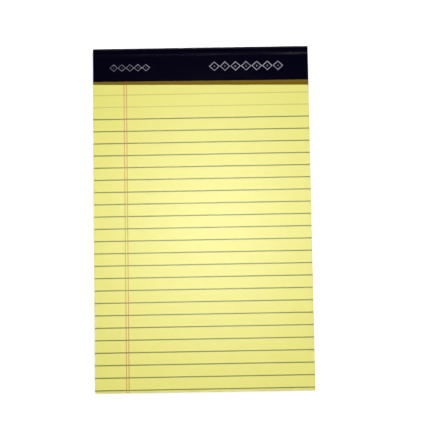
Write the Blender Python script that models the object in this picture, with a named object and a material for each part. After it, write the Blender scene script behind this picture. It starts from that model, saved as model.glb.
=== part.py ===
"""A junior legal pad: perforated canary sheets, wire stapled to a chipboard back and bound in navy tape.

The pad lies on its back. X runs across the sheets, +Y points to the bound head, and +Z points up, out of the
writing face. The origin is under the middle of the pad, on the surface that the pad lies on.
"""

import math

import bmesh
import bpy
from mathutils import Matrix, Vector

MM = 0.001

# The trimmed pad
PAD_WIDTH = 127.0 * MM
PAD_LENGTH = 203.2 * MM
SEAT_GAP = 0.3 * MM  # left between pieces that lie against each other

# The writing sheets
SHEET_COUNT = 50
SHEET_PITCH = 0.1 * MM  # one sheet and the air that it holds where the pad is loose
STUB_PITCH = 0.088 * MM  # one sheet where the tape and the staples squeeze the stack
EDGE_NICK = 0.05 * MM  # how far the groove between two sheets runs in from the trimmed edge
HINGE_WIDTH = 2.5 * MM  # the bare strip between the tape and the perforation

# The perforation that each sheet tears off at
PERFORATION_CUT = 1.7 * MM
PERFORATION_TIE = 0.75 * MM
PERFORATION_WIDTH = 0.2 * MM

# The printed ruling, measured down from the head and in from the left edge
RULE_PITCH = 7.224 * MM
RULE_WIDTH = 0.5 * MM
FIRST_RULE = 28.41 * MM
PALE_RULES = 2  # the first rules on the sheet are printed paler
MARGIN_OFFSET = 18.28 * MM
MARGIN_SPACING = 1.45 * MM
MARGIN_WIDTH = 0.3 * MM

# The chipboard back
BOARD_THICKNESS = 1.2 * MM
BOARD_CRUSH = 0.1 * MM  # how much the binding press thins the board at the head
BOARD_CORNER = 0.35 * MM

# The binding tape, folded over the head
TAPE_THICKNESS = 0.25 * MM
FRONT_FLAP = 20.6 * MM
BACK_FLAP = 16.0 * MM
SHOULDER_RADIUS = 2.8 * MM  # outside of the fold at the front
TELEGRAPH_RAMP = 1.3 * MM  # width of the slope round a staple's crown that shows through the tape

# The wire staples
STAPLE_FROM_SIDE = 25.5 * MM  # from the side of the pad to the middle of the crown
STAPLE_FROM_HEAD = 10.5 * MM
CROWN_WIDTH = 12.7 * MM
CLINCH_LENGTH = 4.2 * MM
WIRE_RADIUS = 0.25 * MM
WIRE_BEND = 0.6 * MM  # to the middle of the wire

# How far a cutter runs past what it cuts
CUT_OVERRUN = 0.5 * MM

# How finely curves are drawn
SHOULDER_STEPS = 8
CORNER_STEPS = 4
RAMP_STEPS = 3
BEND_STEPS = 4
WIRE_RESOLUTION = 1  # gives the wire eight sides
SMOOTH_ANGLE = math.radians(40)

# Heights, from the surface that the pad lies on
BOARD_HEAD_Z = TAPE_THICKNESS + SEAT_GAP
BOARD_BASE_Z = BOARD_HEAD_Z - BOARD_CRUSH
SHEETS_BASE_Z = BOARD_BASE_Z + BOARD_THICKNESS + SEAT_GAP
STUB_THICKNESS = SHEET_COUNT * STUB_PITCH
STUB_TOP_Z = SHEETS_BASE_Z + STUB_THICKNESS
FLAP_BASE_Z = STUB_TOP_Z + SEAT_GAP

# Places along the pad
HEAD_Y = PAD_LENGTH / 2
TAIL_Y = -PAD_LENGTH / 2
SHEET_HEAD_Y = HEAD_Y - TAPE_THICKNESS - SEAT_GAP
FLAP_EDGE_Y = HEAD_Y - FRONT_FLAP
PERFORATION_Y = FLAP_EDGE_Y - HINGE_WIDTH
STAPLE_Y = HEAD_Y - STAPLE_FROM_HEAD
BACK_EDGE_Y = HEAD_Y - BACK_FLAP
STUB_CORNER = SHOULDER_RADIUS - TAPE_THICKNESS - SEAT_GAP

# Material slots of the sheets
EDGE, FACE, HINGE, RULE, PALE_RULE, MARGIN = range(6)


def linear(channel):
    """One sRGB channel, from 0 to 1, as a linear value."""
    if channel <= 0.04045:
        return channel / 12.92
    return ((channel + 0.055) / 1.055) ** 2.4


def finish(name, colour, roughness, metallic=0.0):
    """A material with this sRGB hex colour."""
    material = bpy.data.materials.new(name)
    material.use_nodes = True
    shader = material.node_tree.nodes["Principled BSDF"]
    channels = [linear(int(colour[i : i + 2], 16) / 255) for i in (0, 2, 4)]
    shader.inputs["Base Color"].default_value = (*channels, 1)
    shader.inputs["Roughness"].default_value = roughness
    shader.inputs["Metallic"].default_value = metallic
    material.diffuse_color = (*channels, 1)
    return material


def add_object(name, mesh, materials, place=(0, 0, 0)):
    """Puts a mesh in the scene, smooth where its faces meet at a low angle."""
    for material in materials:
        mesh.materials.append(material)
    mesh.shade_smooth()
    mesh.set_sharp_from_angle(angle=SMOOTH_ANGLE)
    piece = bpy.data.objects.new(name, mesh)
    piece.location = place
    bpy.context.scene.collection.objects.link(piece)
    return piece


def make_mesh(name, shape):
    """Turns a finished bmesh into a mesh whose faces point out."""
    bmesh.ops.recalc_face_normals(shape, faces=shape.faces)
    mesh = bpy.data.meshes.new(name)
    shape.to_mesh(mesh)
    shape.free()
    return mesh


def arc(centre, radius, start, end, steps):
    """Points on an arc in a plane, both ends included, with the angles in degrees."""
    turns = [math.radians(start + (end - start) * i / steps) for i in range(steps + 1)]
    return [(centre[0] + radius * math.cos(t), centre[1] + radius * math.sin(t)) for t in turns]


# The writing sheets


def sheet_pitch_at(y):
    """Height of one sheet at this place along the pad: squeezed under the tape, loose past the perforation."""
    loose_share = min(1, max(0, (FLAP_EDGE_Y - y) / HINGE_WIDTH))
    return STUB_PITCH + (SHEET_PITCH - STUB_PITCH) * loose_share


def stub_head_y(sheets_up):
    """Where the stack ends at the head, this many sheets up, with its top corner rounded under the tape."""
    above_corner = sheets_up * STUB_PITCH - (STUB_THICKNESS - STUB_CORNER)
    if above_corner <= 0:
        return SHEET_HEAD_Y
    return SHEET_HEAD_Y - STUB_CORNER + math.sqrt(max(0, STUB_CORNER**2 - above_corner**2))


def stack_outline(half_sheets):
    """The closed outline of the stack at this height, counted in half sheets, so that every other one is a groove."""
    sheets_up = half_sheets / 2
    nick = 0 if half_sheets % 2 else EDGE_NICK
    places = (stub_head_y(sheets_up), FLAP_EDGE_Y, PERFORATION_Y, TAIL_Y + nick)
    right = [Vector((PAD_WIDTH / 2 - nick, y, sheets_up * sheet_pitch_at(y))) for y in places]
    left = [Vector((-point.x, point.y, point.z)) for point in reversed(right)]
    return right + left


def stack_sheets(shape):
    """Lofts the stack from outline to outline, and closes it with a bottom and a top in strips across the pad."""
    rings = [[shape.verts.new(point) for point in stack_outline(i)] for i in range(2 * SHEET_COUNT + 1)]
    for lower, upper in zip(rings, rings[1:]):
        for i in range(len(lower)):
            j = (i + 1) % len(lower)
            shape.faces.new((lower[i], lower[j], upper[j], upper[i]))
    for ring, slot in ((rings[0], EDGE), (rings[-1], FACE)):
        for i in range(len(ring) // 2 - 1):
            strip = shape.faces.new((ring[i], ring[i + 1], ring[-2 - i], ring[-1 - i]))
            strip.material_index = slot


def rule_places():
    """The middle of each rule along the pad, from the head to the tail."""
    room = PAD_LENGTH - FIRST_RULE - RULE_WIDTH
    return [HEAD_Y - FIRST_RULE - i * RULE_PITCH for i in range(int(room / RULE_PITCH) + 1)]


def margin_places():
    """The middle of each margin line across the pad."""
    first = MARGIN_OFFSET - PAD_WIDTH / 2
    return [first, first + MARGIN_SPACING]


def cut_face(shape, point, direction):
    """Divides the printed face of the top sheet along a straight line."""
    faces = [face for face in shape.faces if face.material_index == FACE]
    edges = {edge for face in faces for edge in face.edges}
    corners = {corner for face in faces for corner in face.verts}
    bmesh.ops.bisect_plane(shape, geom=[*corners, *edges, *faces], plane_co=point, plane_no=direction)


def print_ruling(shape):
    """Divides the top sheet into its print: blue-grey rules from side to side and a double red margin line."""
    for y in rule_places():
        for border in (y - RULE_WIDTH / 2, y + RULE_WIDTH / 2):
            cut_face(shape, (0, border, 0), (0, 1, 0))
    for x in margin_places():
        for border in (x - MARGIN_WIDTH / 2, x + MARGIN_WIDTH / 2):
            cut_face(shape, (border, 0, 0), (1, 0, 0))
    pale_end = HEAD_Y - FIRST_RULE - (PALE_RULES - 1 / 2) * RULE_PITCH
    for face in shape.faces:
        if face.material_index != FACE:
            continue
        middle = face.calc_center_bounds()
        if any(abs(middle.x - x) < MARGIN_WIDTH / 2 for x in margin_places()):
            face.material_index = MARGIN
        elif any(abs(middle.y - y) < RULE_WIDTH / 2 for y in rule_places()):
            face.material_index = PALE_RULE if middle.y > pale_end else RULE
        elif PERFORATION_Y < middle.y < FLAP_EDGE_Y:
            face.material_index = HINGE


def make_writing_sheets():
    shape = bmesh.new()
    stack_sheets(shape)
    print_ruling(shape)
    materials = [
        finish("sheet_edges", "D9D28A", 0.9),
        finish("canary_paper", "EFEB96", 0.9),
        finish("shaded_hinge", "8A721F", 0.95),
        finish("rule_ink", "8C9163", 0.9),
        finish("pale_rule_ink", "D6D68C", 0.9),
        finish("margin_ink", "D98A5E", 0.9),
    ]
    return add_object("writing_sheets", make_mesh("writing_sheets", shape), materials, (0, 0, SHEETS_BASE_Z))


def make_perforation_cutter():
    """A row of blades right through the stack, with a tie between each two and at both ends."""
    step = PERFORATION_CUT + PERFORATION_TIE
    count = int((PAD_WIDTH - PERFORATION_TIE) / step)
    depth = SHEET_COUNT * SHEET_PITCH
    blade = (PERFORATION_CUT, PERFORATION_WIDTH, depth + 2 * CUT_OVERRUN)
    shape = bmesh.new()
    for i in range(count):
        place = Vector(((i - (count - 1) / 2) * step, PERFORATION_Y, SHEETS_BASE_Z + depth / 2))
        bmesh.ops.create_cube(shape, size=1, matrix=Matrix.LocRotScale(place, None, blade))
    return make_mesh("perforation_cutter", shape)


# The chipboard back


def board_profile():
    """The board seen from its side: the crushed head, its rounded lower corner, and the full board to the tail."""
    thin = BOARD_THICKNESS - BOARD_CRUSH
    corner = (SHEET_HEAD_Y - BOARD_CORNER, BOARD_CRUSH + BOARD_CORNER)
    return [
        (TAIL_Y, 0),
        (BACK_EDGE_Y - BOARD_CRUSH, 0),
        (BACK_EDGE_Y, BOARD_CRUSH),
        *arc(corner, BOARD_CORNER, -90, 0, CORNER_STEPS),
        (SHEET_HEAD_Y, BOARD_CRUSH + thin),
        (TAIL_Y, BOARD_THICKNESS),
    ]


def make_backing_board():
    shape = bmesh.new()
    side = shape.faces.new([shape.verts.new((-PAD_WIDTH / 2, y, z)) for y, z in board_profile()])
    far = bmesh.ops.extrude_face_region(shape, geom=[side])["geom"]
    corners = [item for item in far if isinstance(item, bmesh.types.BMVert)]
    bmesh.ops.translate(shape, verts=corners, vec=(PAD_WIDTH, 0, 0))
    materials = [finish("chipboard", "A39279", 0.95)]
    return add_object("backing_board", make_mesh("backing_board", shape), materials, (0, 0, BOARD_BASE_Z))


# The binding tape


def tape_profile():
    """The tape's inner side seen from the pad's side, as places along the pad and up, from flap edge to flap edge."""
    inner_shoulder = SHOULDER_RADIUS - TAPE_THICKNESS
    inner_foot = BOARD_CORNER + SEAT_GAP
    inner_head = HEAD_Y - TAPE_THICKNESS
    shoulder = (inner_head - inner_shoulder, FLAP_BASE_Z - inner_shoulder)
    foot = (inner_head - inner_foot, TAPE_THICKNESS + inner_foot)
    flat = [(y, FLAP_BASE_Z) for y in (FLAP_EDGE_Y, *telegraph_places(STAPLE_Y, 0))]
    return [
        *flat,
        *arc(shoulder, inner_shoulder, 90, 0, SHOULDER_STEPS),
        *arc(foot, inner_foot, 0, -90, CORNER_STEPS),
        (BACK_EDGE_Y, TAPE_THICKNESS),
    ]


def telegraph_places(middle, crown_reach):
    """Grid lines over a staple's crown: the two slopes beside it and the flat top between them."""
    top = crown_reach + WIRE_RADIUS
    slope = [top + TELEGRAPH_RAMP * (1 - i / RAMP_STEPS) for i in range(RAMP_STEPS + 1)]
    return [middle - reach for reach in slope] + [middle + reach for reach in reversed(slope)]


def telegraph_share(distance, crown_reach):
    """How much of the crown's height shows at this distance from its middle: all of it on top, easing to none."""
    past = (abs(distance) - crown_reach - WIRE_RADIUS) / TELEGRAPH_RAMP
    return (1 + math.cos(math.pi * min(1, max(0, past)))) / 2


def staple_places():
    right = PAD_WIDTH / 2 - STAPLE_FROM_SIDE
    return [-right, right]


def crown_rise(x, y):
    """How far a staple's crown lifts the front flap here."""
    along = telegraph_share(y - STAPLE_Y, 0)
    across = sum(telegraph_share(x - place, CROWN_WIDTH / 2) for place in staple_places())
    return WIRE_RADIUS * along * across


def make_binding_tape():
    columns = [-PAD_WIDTH / 2, PAD_WIDTH / 2]
    for place in staple_places():
        columns += telegraph_places(place, CROWN_WIDTH / 2)
    columns.sort()
    shape = bmesh.new()
    rows = []
    for y, z in tape_profile():
        on_front = z >= FLAP_BASE_Z
        rows.append([shape.verts.new((x, y, z + crown_rise(x, y) * on_front)) for x in columns])
    for upper, lower in zip(rows, rows[1:]):
        for i in range(len(columns) - 1):
            shape.faces.new((upper[i], upper[i + 1], lower[i + 1], lower[i]))
    tape = bpy.data.meshes.new("binding_tape")
    shape.normal_update()
    shape.to_mesh(tape)
    shape.free()
    piece = add_object("binding_tape", tape, [finish("navy_binding_tape", "0B0A1F", 0.5)])
    wall = piece.modifiers.new("Tape thickness", "SOLIDIFY")
    wall.thickness = TAPE_THICKNESS
    wall.offset = 1
    wall.use_even_offset = True
    return piece


# The wire staples


def staple_path(spare=0):
    """Half of the staple's centreline and its mirror image, with the clinched ends longer by a spare length."""
    leg = CROWN_WIDTH / 2
    clinch_z = BOARD_HEAD_Z + WIRE_RADIUS - STUB_TOP_Z
    top = arc((leg - WIRE_BEND, -WIRE_BEND), WIRE_BEND, 90, 0, BEND_STEPS)
    foot = arc((leg - WIRE_BEND, clinch_z + WIRE_BEND), WIRE_BEND, 0, -90, BEND_STEPS)
    half = [*top, *foot, (leg - CLINCH_LENGTH - spare, clinch_z)]
    return [(-x, z) for x, z in reversed(half)] + half


def wire_mesh(name, path, radius):
    """A round wire along a path, made by a bevelled curve with closed ends."""
    curve = bpy.data.curves.new(name, "CURVE")
    curve.dimensions = "3D"
    curve.bevel_depth = radius
    curve.bevel_resolution = WIRE_RESOLUTION
    curve.use_fill_caps = True
    line = curve.splines.new("POLY")
    line.points.add(len(path) - 1)
    for point, (x, z) in zip(line.points, path):
        point.co = (x, 0, z, 1)
    holder = bpy.data.objects.new(name, curve)
    bpy.context.scene.collection.objects.link(holder)
    graph = bpy.context.evaluated_depsgraph_get()
    wire = bpy.data.meshes.new_from_object(holder.evaluated_get(graph))
    bpy.data.objects.remove(holder)
    shape = bmesh.new()
    shape.from_mesh(wire)
    bmesh.ops.remove_doubles(shape, verts=shape.verts, dist=WIRE_RADIUS / 100)
    return make_mesh(name, shape)


def make_staples():
    mesh = wire_mesh("staple", staple_path(), WIRE_RADIUS)
    steel = finish("galvanised_wire", "B4B6B8", 0.35, 1.0)
    mesh.materials.append(steel)
    names = ("staple_left", "staple_right")
    return [add_object(name, mesh, [], (x, STAPLE_Y, STUB_TOP_Z)) for name, x in zip(names, staple_places())]


# Cuts and assembly


def make_cutter(name, mesh, place=(0, 0, 0)):
    """A shape that is only taken out of others: it stays in the scene as a guide and isn't rendered."""
    cutter = add_object(name, mesh, [], place)
    cutter.hide_render = True
    cutter.display_type = "WIRE"
    return cutter


def cut(piece, cutter):
    removal = piece.modifiers.new(cutter.name, "BOOLEAN")
    removal.operation = "DIFFERENCE"
    removal.solver = "EXACT"
    removal.object = cutter


def make_pad():
    for item in list(bpy.data.objects):
        bpy.data.objects.remove(item)
    pad = bpy.data.objects.new("legal_pad", None)
    bpy.context.scene.collection.objects.link(pad)
    sheets = make_writing_sheets()
    board = make_backing_board()
    tape = make_binding_tape()
    staples = make_staples()
    perforation = make_cutter("perforation_cutter", make_perforation_cutter())
    room = wire_mesh("staple_room", staple_path(SEAT_GAP), WIRE_RADIUS + SEAT_GAP)
    rooms = [make_cutter(f"room_of_{staple.name}", room, staple.location) for staple in staples]
    cut(sheets, perforation)
    for cutter in rooms:
        cut(sheets, cutter)
        cut(board, cutter)
    for piece in [sheets, board, tape, *staples, perforation, *rooms]:
        piece.parent = pad


make_pad()
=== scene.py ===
"""A junior legal pad on a white table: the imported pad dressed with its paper, print, tape and board.

Everything is in metres in the pad's own frame. The pad lies on its back, +Y points to the bound head and
+Z out of the writing face.
"""

import math

import bmesh
import bpy
import numpy as np
from mathutils import Matrix, Vector, noise


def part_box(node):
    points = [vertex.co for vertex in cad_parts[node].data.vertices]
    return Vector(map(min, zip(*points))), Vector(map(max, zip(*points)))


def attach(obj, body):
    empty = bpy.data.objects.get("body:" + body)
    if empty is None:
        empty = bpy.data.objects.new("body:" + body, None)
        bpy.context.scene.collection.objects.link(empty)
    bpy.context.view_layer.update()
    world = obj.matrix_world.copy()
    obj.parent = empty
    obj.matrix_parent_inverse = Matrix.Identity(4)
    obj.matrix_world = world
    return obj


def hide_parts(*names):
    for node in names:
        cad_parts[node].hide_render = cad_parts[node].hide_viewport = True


MM = 0.001

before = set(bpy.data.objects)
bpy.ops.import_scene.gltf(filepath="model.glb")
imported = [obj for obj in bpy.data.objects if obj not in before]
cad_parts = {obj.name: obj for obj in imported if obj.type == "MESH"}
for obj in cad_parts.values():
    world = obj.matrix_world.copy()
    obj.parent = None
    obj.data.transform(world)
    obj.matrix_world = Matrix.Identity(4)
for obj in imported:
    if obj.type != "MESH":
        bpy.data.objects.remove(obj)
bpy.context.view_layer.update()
board_low, board_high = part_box("backing_board")
sheets_low, sheets_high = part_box("writing_sheets")
tape_low, tape_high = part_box("binding_tape")
staple_low, staple_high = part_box("staple_right")

HALF_WIDTH = sheets_high.x
TAIL_Y = sheets_low.y
HEAD_Y = tape_high.y
FACE_Z = sheets_high.z
SHARP_ANGLE = math.radians(35)

# The binding tape
TAPE_THICKNESS = 0.2 * MM
TAPE_DROP = 0.05 * MM  # its top lies this far below the top of the loose sheets
TAPE_TOP_Z = FACE_Z - TAPE_DROP
TAPE_EDGE_Y = tape_low.y
TAPE_SKEW_SHARE = 0.0035  # its front edge lies this little out of square
TAPE_SKEW_REACH = 6 * MM  # length over which that skew dies away up the strip
TAPE_INSET = 0.25 * MM  # the strip stops this short of the sheets on the left
TAPE_HOLD = 1.5 * MM  # length over which its glued front edge holds it flat
BACK_FLAP = 16 * MM
BOARD_CRUSH = 0.1 * MM  # how far the back flap is pressed into the board
SHOULDER_RADIUS = 2.8 * MM
FOOT_RADIUS = 0.9 * MM
FOLD_STANDOFF = 3 * MM  # length over which the folded foot comes back up to the board
TAPE_COLUMNS = 150
FRONT_ROWS = 36
SHOULDER_ROWS = 14
FOOT_ROWS = 8
BACK_ROWS = 16

# What shows in the tape: the staples' crowns, slow puckers, and a soft crease along the head
CROWN_RISE = 0.12 * MM
CROWN_RAMP = 2.2 * MM
PUCKER_RISE = 0.02 * MM
PUCKER_WIDTH = 16 * MM
PUCKER_LENGTH = 7 * MM
PUCKER_SLICE = 3  # the slice of the noise that the puckers are cut from
CREASE_Y = HEAD_Y - 4.2 * MM
CREASE_RISE = 0.12 * MM
CREASE_SPREAD = 0.9 * MM
CREASE_WANDER = CREASE_SPREAD / 3
CREASE_WANDER_LENGTH = 20 * MM
CREASE_SLICE = 5  # and the one that the crease's wander is cut from
CREASE_PLACE_SHARES = (-0.5, -0.25, 0.15, 0.56, 0.82)  # places across the tape, as shares of half its width
CREASE_RISE_SHARES = (0.5, 0.25, 0.54, 0.1, 1.0)  # how much of its rise the crease has at each of them

# The wear of the tape's coating: how much rougher it gets at the crease, most on the right, and at the fold
CREASE_DULLING = 0.15
CREASE_WEAR_START = 0.3 * HALF_WIDTH
CREASE_WEAR_END = 0.9 * HALF_WIDTH
CREASE_WEAR_SHARE = 0.35  # what is left of the crease's wear on the left
FOLD_DULLING = 0.45
FOLD_WEAR_START = HEAD_Y - 1.6 * MM
FOLD_WEAR_END = HEAD_Y - 0.6 * MM

# The sheets
SHEET_COUNT = 50
SHEET_THICKNESS = 0.088 * MM
PAPER_GAP = 0.02 * MM  # what the stack leaves to the board and to the inside of the tape's fold
GLUE_THICKNESS = 0.01 * MM
SHEETS_BASE_Z = board_high.z + PAPER_GAP
STUB_TOP_Z = TAPE_TOP_Z - TAPE_THICKNESS - GLUE_THICKNESS
LOOSE_PITCH = (FACE_Z - SHEETS_BASE_Z) / SHEET_COUNT
STUB_PITCH = (STUB_TOP_Z - SHEETS_BASE_Z) / SHEET_COUNT
CUT_SHEETS = 4  # upper sheets whose perforation is cut through; it can't be seen in the others
TRIM_JITTER = 0.05 * MM  # how unevenly the sheets are trimmed, at most
TRIM_WAVER = TRIM_JITTER / 4  # how far one sheet's sides waver, at most
TRIM_SEED = 7
WAVE_RISE = 0.12 * MM
WAVE_LENGTH = 70 * MM
WAVE_FREE_SHARE = 0.5  # share of the page, down from the perforation, over which its ripple grows
RIPPLE_SHARE = 0.8
CORNER_LIFT_SHARE = 0.5
CORNER_START = 1.2  # a corner lifts where the shares of the way to the side and the tail add up to more
HINGE_ROWS = 6
BODY_ROWS = 14
BODY_COLUMNS = 12
# The third material of the sheets is the hinge paper, whose brown gold is painted shade.
PAPER_SLOT, EDGE_SLOT, SHADED_HINGE_SLOT = 0, 1, 2  # the sheets' materials, as they come on the mesh

# The perforation, which runs a little out of square like the tape
HINGE_WIDTH = 2.5 * MM
PERFORATION_Y = TAPE_EDGE_Y - HINGE_WIDTH
PERFORATION_SKEW_SHARE = 0.0148
SKEW_FADE_ROWS = 3  # rows over which that skew dies away below the perforation
PERFORATION_CUT = 1.7 * MM
PERFORATION_TIE = 0.75 * MM
PERFORATION_WIDTH = 0.2 * MM

# The print on the sheets
RULE_COUNT = 25
RULE_PITCH = 7.224 * MM
RULE_WIDTH = 0.66 * MM
RULE_SKEW_SHARE = 0.0021  # the rules are printed this little out of square
FIRST_RULE_Y = HEAD_Y - 28.44 * MM
PALE_RULES = 2  # the first ones, which are printed paler
PALE_SHARE = 0.28  # how much of their ink shows
MARGIN_X = 18.28 * MM - HALF_WIDTH
MARGIN_SPACING = 1.45 * MM
MARGIN_WIDTH = 0.4 * MM
SHADED_MARGIN_SHARE = 0.3  # what shows of the margin lines in the painted shade of the hinge
INK_SPREAD = 0.05 * MM  # how far ink feathers into the uncoated paper

# The two rows of ornament on the tape, measured from the pad's left side and down from its head
SMALL_ROW = {
    "count": 5,
    "start": 10 * MM,
    "end": 33.7 * MM,
    "below_head": 12.2 * MM,
    "height": 4.2 * MM,
    "line": 0.3 * MM,
}
LARGE_ROW = {
    "count": 7,
    "start": 68.6 * MM,
    "end": 112.4 * MM,
    "below_head": 12 * MM,
    "height": 5.8 * MM,
    "line": 0.66 * MM,
}
FILM_LIFT = 0.015 * MM
FILM_CUTS = 3  # how often each edge of a stroke is divided
WELD_DISTANCE = 0.001 * MM

# The table, whose own glow is weaker close to the pad, where the pad's shadow lies
TABLE_HALF = 3.0
GLOW_WEAK_RADIUS = 0.25
GLOW_FULL_RADIUS = 0.9
GLOW_WEAK_SHARE = 0.6

# The studio: each lamp's place, its size, and the share of full light that it alone gives the page
LAMPS = {
    "left_softbox": ((-0.9, -0.45, 0.62), 0.5, 0.16),
    "right_softbox": ((0.9, -0.45, 0.62), 0.5, 0.22),
    "tail_light": ((0, -0.55, 0.5), 0.3, 0.1),
    "page_light": ((0.0065, 0.068, 0.45), 0.05, 0.5),
    "page_fill": ((0.0065, 0.004, 0.45), 0.09, 0.23),
}
HORIZON_LEVEL = 0.55
OVERHEAD_LEVEL = 0.02
OVERHEAD_START = 0.7  # height in the sky from which it is dark, where 0 is the horizon and 1 the zenith

# The camera: a long lens above the pad, tilted a little to look up the page
AIM = Vector((8.1 * MM, 0.05 * MM, FACE_Z))
CAMERA_DISTANCE = 1074.7 * MM
CAMERA_TILT = math.radians(7.85)
CAMERA_ROLL = math.radians(-0.91)
CAMERA_CLIP = 10 * MM
LENS = 153.1
SENSOR = 36.0

# The colour sockets of a Mix node: the two colours that go in and the one that comes out
MIX_UNDER, MIX_OVER, MIX_RESULT = 6, 7, 2


# Materials


def linear(colour):
    """An sRGB hex colour as the linear colour that Blender's sockets take."""
    channels = [int(colour[i : i + 2], 16) / 255 for i in (0, 2, 4)]
    return (*[c / 12.92 if c <= 0.04045 else ((c + 0.055) / 1.055) ** 2.4 for c in channels], 1)


def put(material, kind, inputs=None, **settings):
    """Adds a node. Each of its inputs is given a constant or the socket that feeds it."""
    node = material.node_tree.nodes.new("ShaderNode" + kind)
    for name, value in settings.items():
        setattr(node, name, value)
    for name, value in (inputs or {}).items():
        if isinstance(value, bpy.types.NodeSocket):
            material.node_tree.links.new(value, node.inputs[name])
        else:
            node.inputs[name].default_value = value
    return node


def start_material(name, **constants):
    """A material with nothing but a Principled shader, whose sockets get these constants."""
    material = bpy.data.materials.new(name)
    material.use_nodes = True
    shader = material.node_tree.nodes["Principled BSDF"]
    for socket, value in constants.items():
        shader.inputs[socket.replace("_", " ")].default_value = value
    return material, shader


def wire_up(material, shader, **sockets):
    """Feeds the shader's sockets."""
    for name, socket in sockets.items():
        material.node_tree.links.new(socket, shader.inputs[name.replace("_", " ")])


def grain(material, place, size, low=0.0, high=1.0, detail=2.0, roughness=0.5, stretch=(1, 1, 1)):
    """Cloudy variation from low to high whose patches are about this size."""
    scale = tuple(1 / (size * s) for s in stretch)
    at = put(material, "Mapping", {"Vector": place, "Scale": scale})
    inputs = {"Vector": at.outputs[0], "Scale": 1.0, "Detail": detail, "Roughness": roughness}
    cloud = put(material, "TexNoise", inputs).outputs["Fac"]
    return put(material, "MapRange", {"Value": cloud, "To Min": low, "To Max": high}).outputs[0]


def layered(material, base, *layers):
    """A colour with others laid over it. Each is a pattern, its amounts at 0 and at 1, and a colour."""
    colour = linear(base)
    for pattern, low, high, over in layers:
        amount = put(material, "MapRange", {"Value": pattern, "To Min": low, "To Max": high}).outputs[0]
        inputs = {"Factor": amount, MIX_UNDER: colour, MIX_OVER: linear(over)}
        colour = put(material, "Mix", inputs, data_type="RGBA").outputs[MIX_RESULT]
    return colour


def stripe(material, distance, width, feather):
    """1 inside a printed stripe of this width and 0 outside, where distance is measured from its middle."""
    away = put(material, "Math", {0: distance}, operation="ABSOLUTE").outputs[0]
    ends = {"Value": away, "From Min": width / 2 + feather, "From Max": width / 2 - feather}
    return put(material, "MapRange", ends, interpolation_type="SMOOTHSTEP").outputs[0]


def rule_ink(material, across, along):
    """How much rule ink lies at this place on the sheet, with the first rules printed paler."""
    skewed = {0: across, 1: RULE_SKEW_SHARE, 2: FIRST_RULE_Y}
    start = put(material, "Math", skewed, operation="MULTIPLY_ADD").outputs[0]
    down = put(material, "Math", {0: start, 1: along}, operation="SUBTRACT").outputs[0]
    count = put(material, "Math", {0: down, 1: RULE_PITCH}, operation="DIVIDE").outputs[0]
    whole = put(material, "Math", {0: count}, operation="ROUND").outputs[0]
    rule = put(material, "Clamp", {"Value": whole, "Min": 0, "Max": RULE_COUNT - 1}).outputs[0]
    off = put(material, "Math", {0: count, 1: rule}, operation="SUBTRACT").outputs[0]
    distance = put(material, "Math", {0: off, 1: RULE_PITCH}, operation="MULTIPLY").outputs[0]
    line = stripe(material, distance, RULE_WIDTH, INK_SPREAD)
    pale = put(material, "Math", {0: rule, 1: PALE_RULES - 0.5}, operation="LESS_THAN").outputs[0]
    strength = put(material, "MapRange", {"Value": pale, "To Min": 1.0, "To Max": PALE_SHARE}).outputs[0]
    return put(material, "Math", {0: line, 1: strength}, operation="MULTIPLY").outputs[0]


def margin_ink(material, across):
    """How much ink of the double margin line lies at this place across the sheet."""
    lines = []
    for middle in (MARGIN_X, MARGIN_X + MARGIN_SPACING):
        off = put(material, "Math", {0: across, 1: middle}, operation="SUBTRACT").outputs[0]
        lines.append(stripe(material, off, MARGIN_WIDTH, INK_SPREAD))
    return put(material, "Math", {0: lines[0], 1: lines[1]}, operation="MAXIMUM").outputs[0]


def print_layers(material, place):
    """The rules and then the margin lines, as layers of ink that the paper's tooth breaks up a little."""
    split = put(material, "SeparateXYZ", {0: place})
    tooth = grain(material, place, 0.35 * MM, low=0.85, high=1.0)
    press = grain(material, place, 22 * MM, low=0.9, high=1.05)
    even = put(material, "Math", {0: tooth, 1: press}, operation="MULTIPLY").outputs[0]
    rules = rule_ink(material, split.outputs["X"], split.outputs["Y"])
    margins = margin_ink(material, split.outputs["X"])
    layers = []
    for amount, ink in ((rules, "48580C"), (margins, "B5710C")):
        laid = put(material, "Math", {0: amount, 1: even}, operation="MULTIPLY").outputs[0]
        layers.append((laid, 0, 1, ink))
    return layers


def make_canary_paper():
    """Dyed writing paper, calendered smooth: a broad soft sheen over faint clouds of fibre and fine tooth."""
    material, shader = start_material("canary_writing_paper", Roughness=0.385, IOR=1.44)
    place = put(material, "TexCoord").outputs["Object"]
    clouds = grain(material, place, 3.5 * MM, detail=3)
    fibres = grain(material, place, 0.3 * MM, stretch=(1, 2.5, 1))  # drawn coarser than real ones, to show
    paper = ((clouds, 0, 1, "E4DF72"), (fibres, 0, 0.3, "D7D260"))
    colour = layered(material, "DFDA6A", *paper, *print_layers(material, place))
    wire_up(material, shader, Base_Color=colour)
    bump = put(material, "Bump", {"Height": fibres, "Strength": 0.12, "Distance": 0.02 * MM})
    wire_up(material, shader, Normal=bump.outputs[0])
    return material


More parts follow.
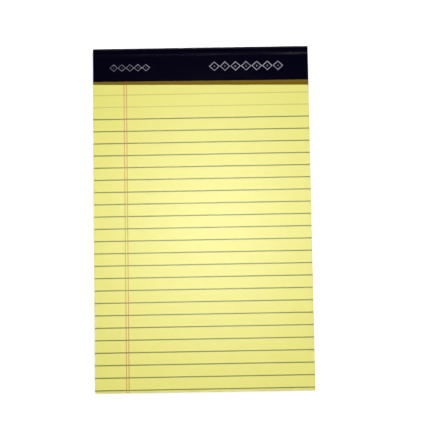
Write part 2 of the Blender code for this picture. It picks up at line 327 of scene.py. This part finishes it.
def make_hinge_paper_with_painted_shade():
    """The stub and hinge of the sheets: pressed hard and matt, in a painted shade of brown gold, darkest at
    the perforation.
    """
    material, shader = start_material("hinge_paper_painted_shade", Roughness=0.95, IOR=1.4, Specular_IOR_Level=0.12)
    place = put(material, "TexCoord").outputs["Object"]
    split = put(material, "SeparateXYZ", {0: place})
    # Painted shade: the hinge is darkened from tan at the tape's edge to dark gold at the perforation, with
    # darker mottles.
    ends = {"Value": split.outputs["Y"], "From Min": PERFORATION_Y, "From Max": TAPE_EDGE_Y}
    painted_shade_ramp = put(material, "MapRange", ends).outputs[0]
    painted_shade_mottle = grain(material, place, 2.2 * MM, detail=3, stretch=(1, 0.5, 1))
    painted_shade_layers = ((painted_shade_ramp, 0, 1, "806A24"), (painted_shade_mottle, 0, 0.4, "665006"))
    # The margin lines show through that painted shade, fainter and redder.
    margin = (margin_ink(material, split.outputs["X"]), 0, SHADED_MARGIN_SHARE, "B4461A")
    wire_up(material, shader, Base_Color=layered(material, "765C00", *painted_shade_layers, margin))
    wrinkles = grain(material, place, 0.6 * MM, stretch=(1.5, 0.5, 1))
    bump = put(material, "Bump", {"Height": wrinkles, "Strength": 0.3, "Distance": 0.04 * MM})
    wire_up(material, shader, Normal=bump.outputs[0])
    return material


def make_paper_edge():
    """The guillotined edges of the sheets: a little deeper than the face, and rough."""
    material, shader = start_material("cut_paper_edge", Roughness=0.85, IOR=1.4)
    place = put(material, "TexCoord").outputs["Object"]
    streaks = grain(material, place, 0.5 * MM, detail=3, stretch=(6, 6, 0.3))
    wire_up(material, shader, Base_Color=layered(material, "D8D07A", (streaks, 0, 1, "EDE794")))
    fuzz = grain(material, place, 0.12 * MM, detail=3)
    bump = put(material, "Bump", {"Height": fuzz, "Strength": 0.35, "Distance": 0.03 * MM})
    wire_up(material, shader, Normal=bump.outputs[0])
    return material


def crease_wear(material, place):
    """How far the tape's coating is dulled along its crease, which fades out to the left."""
    split = put(material, "SeparateXYZ", {0: place})
    off = put(material, "Math", {0: split.outputs["Y"], 1: CREASE_Y}, operation="SUBTRACT").outputs[0]
    along = stripe(material, off, 2 * CREASE_SPREAD, CREASE_SPREAD)
    ends = {"From Min": CREASE_WEAR_START, "From Max": CREASE_WEAR_END, "To Min": CREASE_WEAR_SHARE}
    across = put(material, "MapRange", {"Value": split.outputs["X"], **ends}).outputs[0]
    return put(material, "Math", {0: along, 1: across}, operation="MULTIPLY").outputs[0]


def fold_wear(material, place):
    """How far the tape's coating is rubbed dull where it turns over the head."""
    along = put(material, "SeparateXYZ", {0: place}).outputs["Y"]
    ends = {"Value": along, "From Min": FOLD_WEAR_START, "From Max": FOLD_WEAR_END}
    return put(material, "MapRange", ends).outputs[0]


def make_binding_tape_finish():
    """Navy coated binding paper: nearly black, with a narrow dim gloss over its fine calender grain."""
    material, shader = start_material("navy_coated_binding_paper", IOR=1.33, Specular_IOR_Level=0.22)
    place = put(material, "TexCoord").outputs["Object"]
    dye = grain(material, place, 14 * MM)
    fine = grain(material, place, 0.22 * MM, detail=3, stretch=(2.2, 1, 1))  # drawn coarse enough to show
    navy = ((dye, 0, 1, "040215"), (fine, -0.6, 0.5, "0C0A1E"))
    wire_up(material, shader, Base_Color=layered(material, "02010C", *navy))
    roughness = grain(material, place, 1.5 * MM, low=0.11, high=0.16, detail=4)
    wears = ((crease_wear(material, place), CREASE_DULLING), (fold_wear(material, place), FOLD_DULLING))
    for wear, dulling in wears:
        worn = {0: wear, 1: dulling, 2: roughness}
        roughness = put(material, "Math", worn, operation="MULTIPLY_ADD").outputs[0]
    wire_up(material, shader, Roughness=roughness)
    bump = put(material, "Bump", {"Height": fine, "Strength": 0.04, "Distance": 0.02 * MM})
    wire_up(material, shader, Normal=bump.outputs[0])
    return material


def make_silver_print():
    """Silver printing ink: dull grey flake that sinks a little into the tape's coating."""
    material, shader = start_material("silver_printing_ink", Metallic=0.2, IOR=1.45)
    place = put(material, "TexCoord").outputs["Object"]
    flake = grain(material, place, 0.18 * MM, detail=3)
    wire_up(material, shader, Base_Color=layered(material, "605E69", (flake, 0, 1, "92909C")))
    rough = put(material, "MapRange", {"Value": flake, "To Min": 0.42, "To Max": 0.6})
    wire_up(material, shader, Roughness=rough.outputs[0])
    return material


def make_chipboard():
    """Recycled grey-brown board: matt, with long fibres pressed one way, and dark and pale flecks."""
    material, shader = start_material("recycled_chipboard", Roughness=0.9, IOR=1.4)
    place = put(material, "TexCoord").outputs["Object"]
    pulp = grain(material, place, 9 * MM, detail=4, roughness=0.6)
    fibres = grain(material, place, 0.35 * MM, detail=3, stretch=(1, 7, 1))
    board = [(pulp, 0, 1, "B0A083"), (fibres, -0.1, 0.75, "BDB096")]
    for size, low, high, fleck in ((1.1 * MM, 0.66, 0.7, "6A5A44"), (0.8 * MM, 0.67, 0.72, "D6CCB6")):
        speck = grain(material, place, size, detail=1, stretch=(1, 1.8, 1))
        shown = put(material, "MapRange", {"Value": speck, "From Min": low, "From Max": high})
        board.append((shown.outputs[0], 0, 0.7, fleck))
    wire_up(material, shader, Base_Color=layered(material, "978669", *board))
    bump = put(material, "Bump", {"Height": fibres, "Strength": 0.3, "Distance": 0.05 * MM})
    wire_up(material, shader, Normal=bump.outputs[0])
    return material


def make_stitching_wire():
    """Galvanised stitching wire: drawn steel with a dull zinc skin."""
    material, shader = start_material("galvanised_stitching_wire", Metallic=1.0)
    place = put(material, "TexCoord").outputs["Object"]
    drawn = grain(material, place, 0.1 * MM, detail=3, stretch=(8, 1, 1))
    wire_up(material, shader, Base_Color=layered(material, "A9ABAD", (drawn, 0, 1, "C6C8CA")))
    rough = put(material, "MapRange", {"Value": drawn, "To Min": 0.3, "To Max": 0.5})
    wire_up(material, shader, Roughness=rough.outputs[0])
    return material


# Shapes


def ease(share):
    """A share held between 0 and 1 that starts and ends level."""
    share = min(1, max(0, share))
    return share * share * (3 - 2 * share)


def add_piece(name, points, faces, materials, slots=None):
    """A mesh piece of the pad. slots gives each face's material."""
    mesh = bpy.data.meshes.new(name)
    mesh.from_pydata(points, [], faces)
    for material in materials:
        mesh.materials.append(material)
    if slots is not None:
        mesh.polygons.foreach_set("material_index", slots)
    mesh.shade_smooth()
    mesh.set_sharp_from_angle(angle=SHARP_ANGLE)
    piece = bpy.data.objects.new(name, mesh)
    bpy.context.scene.collection.objects.link(piece)
    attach(piece, "root")
    return piece


def add_slab(points, faces, slots, low, high, kept, row_slot):
    """Adds a closed slab between two grids of points. A cell that isn't kept is a hole with its own walls.

    The flat faces take the material slot that row_slot gives for their row, and the walls take the edge's.
    """
    rows, columns = len(low), len(low[0])
    start = len(points)
    for grid in (low, high):
        for row in grid:
            points.extend(row)

    def at(r, c, upper):
        return start + (rows * columns if upper else 0) + r * columns + c

    for r in range(rows - 1):
        for c in range(columns - 1):
            if not kept(r, c):
                continue
            corners = [(r, c), (r, c + 1), (r + 1, c + 1), (r + 1, c)]
            faces.append([at(*p, True) for p in reversed(corners)])
            faces.append([at(*p, False) for p in corners])
            slots += [row_slot(r), row_slot(r)]
            beyond = [(r - 1, c), (r, c + 1), (r + 1, c), (r, c - 1)]
            for i, (nr, nc) in enumerate(beyond):
                inside = 0 <= nr < rows - 1 and 0 <= nc < columns - 1
                if inside and kept(nr, nc):
                    continue
                a, b = corners[i], corners[(i + 1) % 4]
                faces.append([at(*a, True), at(*b, True), at(*b, False), at(*a, False)])
                slots.append(EDGE_SLOT)


def perforation_cuts():
    """The two ends of each cut across the sheet."""
    step = PERFORATION_CUT + PERFORATION_TIE
    count = int((2 * HALF_WIDTH - PERFORATION_TIE) / step)
    middles = [(i - (count - 1) / 2) * step for i in range(count)]
    return [(m - PERFORATION_CUT / 2, m + PERFORATION_CUT / 2) for m in middles]


def tape_inner_y(z):
    """Where the inside of the tape's fold stands at this height."""
    radius = SHOULDER_RADIUS - TAPE_THICKNESS
    above = z - (TAPE_TOP_Z - SHOULDER_RADIUS)
    drop = radius - math.sqrt(max(0, radius**2 - above**2)) if above > 0 else 0
    return HEAD_Y - TAPE_THICKNESS - drop


def sheet_rows(head_y):
    """Places along a sheet from head to tail, each with how much of the perforation's skew it takes."""
    rows = [(head_y, 0), (TAPE_EDGE_Y + HINGE_WIDTH, 0)]
    rows += [(TAPE_EDGE_Y - HINGE_WIDTH * i / HINGE_ROWS, i / HINGE_ROWS) for i in range(HINGE_ROWS)]
    rows += [(PERFORATION_Y + PERFORATION_WIDTH / 2, 1), (PERFORATION_Y - PERFORATION_WIDTH / 2, 1)]
    first = PERFORATION_Y - 2 * PERFORATION_WIDTH
    rows.append((first, 1))
    for i in range(1, BODY_ROWS + 1):
        rows.append((first + (TAIL_Y - first) * i / BODY_ROWS, max(0, 1 - i / SKEW_FADE_ROWS)))
    return rows


def page_wave(x, y):
    """How far a page lies off flat, as a share: a slow ripple that dies away towards the binding."""
    ripple = (noise.noise(Vector((x, y, 0)) / WAVE_LENGTH) + 1) / 2
    corner = ease((x / HALF_WIDTH + y / TAIL_Y - CORNER_START) / (2 - CORNER_START))
    free = ease((PERFORATION_Y - y) / (PERFORATION_Y - TAIL_Y) / WAVE_FREE_SHARE)
    return min(1, ripple * RIPPLE_SHARE + corner * CORNER_LIFT_SHARE) * free


def sheet_height(index, x, y, level_y):
    """Height of a sheet's underside: squeezed at the stub, rising over the hinge, and rippled further up."""
    loose = ease((TAPE_EDGE_Y - level_y) / HINGE_WIDTH)
    pitch = STUB_PITCH + (LOOSE_PITCH - STUB_PITCH) * loose
    lift = (index / (SHEET_COUNT - 1)) ** 3
    return SHEETS_BASE_Z + index * pitch + WAVE_RISE * lift * page_wave(x, y)


def add_sheet(points, faces, slots, index, random):
    """Adds one sheet, trimmed a little unevenly. The upper ones have their cuts, and painted shade on their
    stubs.
    """
    cut_through = index >= SHEET_COUNT - CUT_SHEETS
    if cut_through:
        columns = [-HALF_WIDTH, *[x for cut in perforation_cuts() for x in cut], HALF_WIDTH]
    else:
        columns = [-HALF_WIDTH + 2 * HALF_WIDTH * i / BODY_COLUMNS for i in range(BODY_COLUMNS + 1)]
    middle_z = SHEET_THICKNESS / 2 + STUB_PITCH * index + SHEETS_BASE_Z
    rows = sheet_rows(tape_inner_y(middle_z) - PAPER_GAP)
    slit_row = next(i for i, (y, _) in enumerate(rows) if y < PERFORATION_Y) - 1
    side_trim, tail_trim = (random.random(2) ** 2) * TRIM_JITTER
    low, high = [], []
    for row, (y, skew_share) in enumerate(rows):
        inset = side_trim + random.random() * TRIM_WAVER
        along = y + tail_trim if row == len(rows) - 1 else y
        line = []
        for x in columns:
            trimmed = x * (1 - inset / HALF_WIDTH) if abs(x) == HALF_WIDTH else x
            skewed = along - PERFORATION_SKEW_SHARE * trimmed * skew_share
            line.append((trimmed, skewed, sheet_height(index, trimmed, skewed, y)))
        low.append(line)
        high.append([(x, y, z + SHEET_THICKNESS) for x, y, z in line])

    def kept(r, c):
        return not (cut_through and r == slit_row and c % 2 == 1)

    # The upper sheets' stubs, down to the perforation, take the hinge paper with its painted shade.
    def paper(r):
        return SHADED_HINGE_SLOT if cut_through and r < slit_row else PAPER_SLOT

    add_slab(points, faces, slots, low, high, kept, paper)


def make_sheets():
    """All the sheets, each a slab of paper of its own."""
    random = np.random.default_rng(TRIM_SEED)
    points, faces, slots = [], [], []
    for index in range(SHEET_COUNT):
        add_sheet(points, faces, slots, index, random)
    # The third material is the hinge paper with its painted shade.
    papers = [make_canary_paper(), make_paper_edge(), make_hinge_paper_with_painted_shade()]
    return add_piece("ruled_sheets", points, faces, papers, slots)


def arc(centre_y, centre_z, radius, start, end, steps):
    """Points of an arc in the plane along the pad, each with the way that it faces. Angles are in degrees."""
    points = []
    for i in range(steps + 1):
        turn = math.radians(start + (end - start) * i / steps)
        out_y, out_z = math.cos(turn), math.sin(turn)
        points.append((centre_y + radius * out_y, centre_z + radius * out_z, out_y, out_z))
    return points


def tape_outline():
    """The tape's outer side as it is folded, from the front edge round the head to the back edge."""
    flat_start = HEAD_Y - SHOULDER_RADIUS
    foot_y, back_y = HEAD_Y - FOOT_RADIUS, HEAD_Y - BACK_FLAP
    back_z = board_low.z + BOARD_CRUSH - TAPE_THICKNESS
    points = []
    for i in range(FRONT_ROWS):
        points.append((TAPE_EDGE_Y + (flat_start - TAPE_EDGE_Y) * i / FRONT_ROWS, TAPE_TOP_Z, 0, 1))
    points += arc(flat_start, TAPE_TOP_Z - SHOULDER_RADIUS, SHOULDER_RADIUS, 90, 0, SHOULDER_ROWS)
    points += arc(foot_y, FOOT_RADIUS, FOOT_RADIUS, 0, -90, FOOT_ROWS)
    for i in range(1, BACK_ROWS + 1):
        y = foot_y + (back_y - foot_y) * i / BACK_ROWS
        points.append((y, back_z * ease((foot_y - y) / FOLD_STANDOFF), 0, -1))
    return points


def crown_share(x, y):
    """How much of a staple crown's height shows through the tape here."""
    reach = (staple_high.x - staple_low.x) / 2
    along = 1 - ease(abs(y - (staple_low.y + staple_high.y) / 2) / CROWN_RAMP)
    middle = (staple_high.x + staple_low.x) / 2
    return along * sum(1 - ease((abs(x - side) - reach) / CROWN_RAMP) for side in (-middle, middle))


def tape_relief(x, y):
    """How far the tape's front stands off flat: over the staples, in slow puckers and along the crease."""
    pucker = noise.noise(Vector((x / PUCKER_WIDTH, y / PUCKER_LENGTH, PUCKER_SLICE))) * PUCKER_RISE
    wander = noise.noise(Vector((x / CREASE_WANDER_LENGTH, CREASE_SLICE, 0))) * CREASE_WANDER
    crease = math.exp(-(((y - CREASE_Y - wander) / CREASE_SPREAD) ** 2)) * CREASE_RISE
    crease *= np.interp(x / HALF_WIDTH, CREASE_PLACE_SHARES, CREASE_RISE_SHARES)
    return crown_share(x, y) * CROWN_RISE + pucker + crease


def make_tape():
    """The binding strip, as one thin folded sheet with closed edges."""
    left = TAPE_INSET - HALF_WIDTH
    columns = [left + (HALF_WIDTH - left) * i / TAPE_COLUMNS for i in range(TAPE_COLUMNS + 1)]
    outer, inner = [], []
    for y, z, out_y, out_z in tape_outline():
        on_front = out_z > 0
        held = ease((y - TAPE_EDGE_Y) / TAPE_HOLD) * ease((HEAD_Y - y) / SHOULDER_RADIUS)
        slant = TAPE_SKEW_SHARE * ease(1 - (y - TAPE_EDGE_Y) / TAPE_SKEW_REACH)
        outer_row, inner_row = [], []
        for x in columns:
            rise = tape_relief(x, y) * held if on_front else 0
            skew = slant * x if on_front else 0
            place = Vector((x, y - skew, z + rise))
            outer_row.append(tuple(place))
            inner_row.append(tuple(place - Vector((0, out_y, out_z)) * TAPE_THICKNESS))
        outer.append(outer_row)
        inner.append(inner_row)
    points, faces, slots = [], [], []
    add_slab(points, faces, slots, inner, outer, lambda r, c: True, lambda r: 0)
    return add_piece("folded_tape", points, faces, [make_binding_tape_finish()])


# The print on the tape, which is plain printer's ornament


def lozenge(centre, width, height, line):
    """An outlined lozenge as a list of four-sided strokes."""
    outer = [(width / 2, 0), (0, height / 2), (-width / 2, 0), (0, -height / 2)]
    inner = [(x * (1 - 2 * line / width), y * (1 - 2 * line / height)) for x, y in outer]
    strokes = []
    for i in range(4):
        j = (i + 1) % 4
        strokes.append([(centre[0] + x, centre[1] + y) for x, y in (outer[i], outer[j], inner[j], inner[i])])
    return strokes


def dot(centre, size):
    """A small square dot."""
    corners = ((-1, -1), (1, -1), (1, 1), (-1, 1))
    return [(centre[0] + x * size / 2, centre[1] + y * size / 2) for x, y in corners]


def ornament_row(count, start, end, below_head, height, line):
    """A row of linked lozenges, each with a dot in its middle."""
    width = (end - start) / count
    strokes = []
    for i in range(count):
        centre = (start - HALF_WIDTH + width * (i + 0.5), HEAD_Y - below_head)
        strokes += lozenge(centre, width, height, line)
        strokes.append(dot(centre, line))
    return strokes


def make_tape_print():
    """The ornament as a film of silver ink on the tape, cut fine enough to follow its relief."""
    shape = bmesh.new()
    for stroke in ornament_row(**SMALL_ROW) + ornament_row(**LARGE_ROW):
        shape.faces.new([shape.verts.new((x, y, 0)) for x, y in stroke])
    bmesh.ops.remove_doubles(shape, verts=shape.verts, dist=WELD_DISTANCE)
    bmesh.ops.subdivide_edges(shape, edges=shape.edges, cuts=FILM_CUTS, use_grid_fill=True)
    for corner in shape.verts:
        corner.co.z = TAPE_TOP_Z + tape_relief(corner.co.x, corner.co.y) + FILM_LIFT
    bmesh.ops.recalc_face_normals(shape, faces=shape.faces)
    mesh = bpy.data.meshes.new("silver_ornament")
    shape.to_mesh(mesh)
    shape.free()
    mesh.materials.append(make_silver_print())
    mesh.shade_smooth()
    piece = bpy.data.objects.new("silver_ornament", mesh)
    bpy.context.scene.collection.objects.link(piece)
    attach(piece, "root")


# The table, the light and the camera


def make_floor():
    """A table top that the camera and reflections see as white, and that still takes the pad's shadow."""
    white = linear("FFFFFF")
    constants = {"Roughness": 0.9, "Base_Color": linear("F2F2F2"), "Emission_Color": white}
    material, shader = start_material("white_table_top", **constants)
    rays = put(material, "LightPath")
    straight = {0: rays.outputs["Is Camera Ray"], 1: rays.outputs["Is Glossy Ray"]}
    seen = put(material, "Math", straight, operation="MAXIMUM").outputs[0]
    place = put(material, "TexCoord").outputs["Object"]
    away = put(material, "VectorMath", {0: place}, operation="LENGTH").outputs["Value"]
    ends = {"From Min": GLOW_WEAK_RADIUS, "From Max": GLOW_FULL_RADIUS, "To Min": GLOW_WEAK_SHARE}
    level = put(material, "MapRange", {"Value": away, **ends}, interpolation_type="SMOOTHSTEP").outputs[0]
    glow = put(material, "Math", {0: seen, 1: level}, operation="MULTIPLY").outputs[0]
    wire_up(material, shader, Emission_Strength=glow)
    corners = [(x * TABLE_HALF, y * TABLE_HALF, 0) for x, y in ((-1, -1), (1, -1), (1, 1), (-1, 1))]
    mesh = bpy.data.meshes.new("table_top")
    mesh.from_pydata(corners, [], [(0, 1, 2, 3)])
    mesh.materials.append(material)
    floor = bpy.data.objects.new("table_top", mesh)
    bpy.context.scene.collection.objects.link(floor)


def make_world():
    """A studio that is white to the camera, pale round the horizon and dark overhead."""
    world = bpy.data.worlds.new("studio")
    bpy.context.scene.world = world
    world.use_nodes = True
    background = world.node_tree.nodes["Background"]
    background.inputs["Color"].default_value = linear("FFFFFF")
    place = put(world, "TexCoord").outputs["Generated"]
    height = put(world, "SeparateXYZ", {0: place}).outputs["Z"]
    ends = {"Value": height, "From Max": OVERHEAD_START, "To Min": HORIZON_LEVEL, "To Max": OVERHEAD_LEVEL}
    level = put(world, "MapRange", ends, interpolation_type="SMOOTHSTEP").outputs[0]
    rays = put(world, "LightPath")
    seen = {0: level, 1: rays.outputs["Is Camera Ray"]}
    wire_up(world, background, Strength=put(world, "Math", seen, operation="MAXIMUM").outputs[0])


def softbox(name, place, aim, size, light):
    """A square studio lamp. light is the share of full light that it alone gives a surface that faces it."""
    lamp = bpy.data.lights.new(name, "AREA")
    lamp.shape = "SQUARE"
    lamp.size = size
    away = Vector(place) - Vector(aim)
    full_light = math.pi**2 * away.length_squared  # the power that shows a white surface at the aim as white
    lamp.energy = light * full_light
    holder = bpy.data.objects.new(name, lamp)
    holder.location = place
    holder.rotation_mode = "QUATERNION"
    holder.rotation_quaternion = away.to_track_quat("Z", "Y")
    holder.visible_camera = False
    bpy.context.scene.collection.objects.link(holder)


def make_light():
    """The studio's lamps, all turned to the middle of the page."""
    for name, (place, size, light) in LAMPS.items():
        softbox(name, place, (0, 0, FACE_Z), size, light)


def make_camera():
    """The camera that takes the pad as the photograph shows it."""
    camera = bpy.data.cameras.new("camera")
    camera.lens = LENS
    camera.sensor_width = SENSOR
    camera.clip_start = CAMERA_CLIP
    holder = bpy.data.objects.new("camera", camera)
    back = Vector((0, -math.sin(CAMERA_TILT), math.cos(CAMERA_TILT)))
    turn = Matrix.Rotation(CAMERA_TILT, 4, "X") @ Matrix.Rotation(CAMERA_ROLL, 4, "Z")
    holder.matrix_world = Matrix.Translation(AIM + back * CAMERA_DISTANCE) @ turn
    bpy.context.scene.collection.objects.link(holder)
    bpy.context.scene.camera = holder


def dress_node(name, material):
    """Gives a CAD node that stays its finish."""
    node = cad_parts[name]
    node.data.materials.clear()
    node.data.materials.append(material)


sheets = make_sheets()
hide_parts("writing_sheets")

tape = make_tape()
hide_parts("binding_tape")
make_tape_print()

dress_node("backing_board", make_chipboard())
wire = make_stitching_wire()
dress_node("staple_left", wire)
dress_node("staple_right", wire)

make_floor()
make_world()
make_light()
make_camera()
bpy.context.scene.view_settings.view_transform = "Standard"
